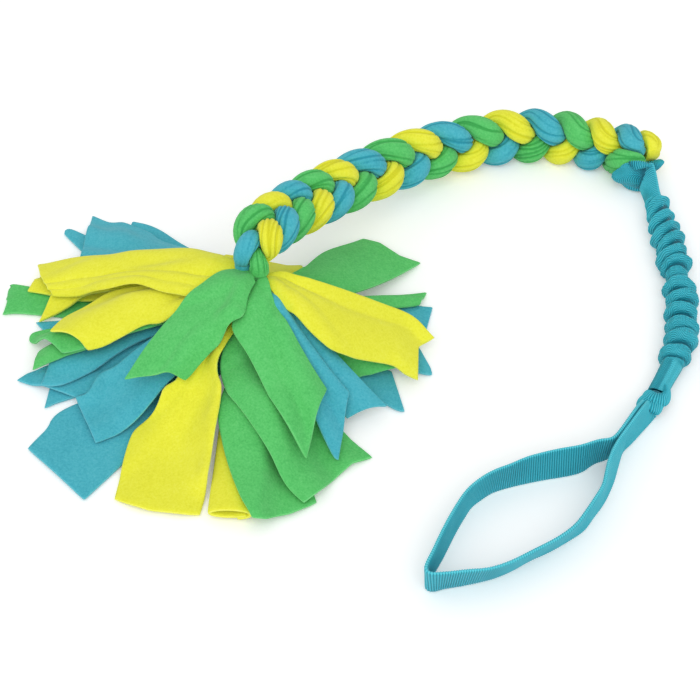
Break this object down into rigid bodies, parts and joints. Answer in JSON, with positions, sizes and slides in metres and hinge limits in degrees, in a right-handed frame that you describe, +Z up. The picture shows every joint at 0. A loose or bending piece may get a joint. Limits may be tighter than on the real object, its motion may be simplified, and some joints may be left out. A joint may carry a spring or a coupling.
{
  "type": "bungee tug toy",
  "caption": "Fleece dog tug toy: a pom of cut fleece tails, a fleece plait and a bungee in a gathered webbing sleeve that ends in a knotted webbing hand loop.",
  "frame": {"origin": "middle of the toy's footprint, on the table it lies on", "axes": "+X from the pom towards the bungee, +Y from the hand loop towards the plait, +Z up"},
  "size_m": [0.3518, 0.3242, 0.0732],
  "materials": {
    "fleece_blue": "soft napped fleece",
    "fleece_green": "soft napped fleece",
    "fleece_yellow": "soft napped fleece",
    "fleece_core": "soft napped fleece, hidden",
    "webbing": "ribbed woven webbing",
    "elastic": "covered round elastic, hidden"
  },
  "bodies": {
    "plait": {"strand_blue": "fleece_blue", "strand_green": "fleece_green", "strand_yellow": "fleece_yellow"},
    "pom": {"bound_core": "fleece_core", "tail_01_green": "fleece_green", "tail_02_blue": "fleece_blue", "tail_03_blue": "fleece_blue", "tail_04_blue": "fleece_blue", "tail_05_blue": "fleece_blue", "tail_06_blue": "fleece_blue", "tail_07_blue": "fleece_blue", "tail_08_blue": "fleece_blue", "tail_09_yellow": "fleece_yellow", "tail_10_green": "fleece_green", "tail_11_green": "fleece_green", "tail_12_blue": "fleece_blue", "tail_13_yellow": "fleece_yellow", "tail_14_green": "fleece_green", "tail_15_blue": "fleece_blue", "tail_16_blue": "fleece_blue", "tail_17_green": "fleece_green", "tail_18_green": "fleece_green", "tail_19_yellow": "fleece_yellow", "tail_20_green": "fleece_green", "tail_21_green": "fleece_green", "tail_22_blue": "fleece_blue", "tail_23_yellow": "fleece_yellow", "tail_24_yellow": "fleece_yellow", "tail_25_blue": "fleece_blue", "tail_26_blue": "fleece_blue", "tail_27_yellow": "fleece_yellow", "tail_28_blue": "fleece_blue", "tail_29_yellow": "fleece_yellow", "tail_30_yellow": "fleece_yellow", "tail_31_green": "fleece_green", "tail_32_green": "fleece_green"},
    "bungee_head": {"hitch_loop": "webbing", "hitch_neck": "webbing", "bungee_sleeve": "webbing", "bungee_elastic": "elastic"},
    "knot": {"handle_knot": "webbing"},
    "handle": {"hand_loop": "webbing"}
  },
  "joints": [
    {"name": "pom_turn", "type": "hinge", "parent": "plait", "child": "pom", "pos_m": [-0.0451, 0.0054, 0.0545], "axis": [0, 0, 1], "range_deg": [-20, 20]},
    {"name": "bungee_swing", "type": "hinge", "parent": "plait", "child": "bungee_head", "pos_m": [0.1541, 0.1276, 0.005], "axis": [0, 0, 1], "range_deg": [-5, 60]},
    {"name": "bungee_stretch", "type": "slide", "parent": "bungee_head", "child": "knot", "axis": [-0.0826, -0.9966, 0], "range_m": [0, 0.15], "stiffness_N_per_m": 60, "deforming": ["bungee_sleeve", "bungee_elastic"]},
    {"name": "handle_swing", "type": "hinge", "parent": "knot", "child": "handle", "pos_m": [0.1491, -0.0411, 0.0066], "axis": [0, 0, 1], "range_deg": [-5, 40]}
  ]
}
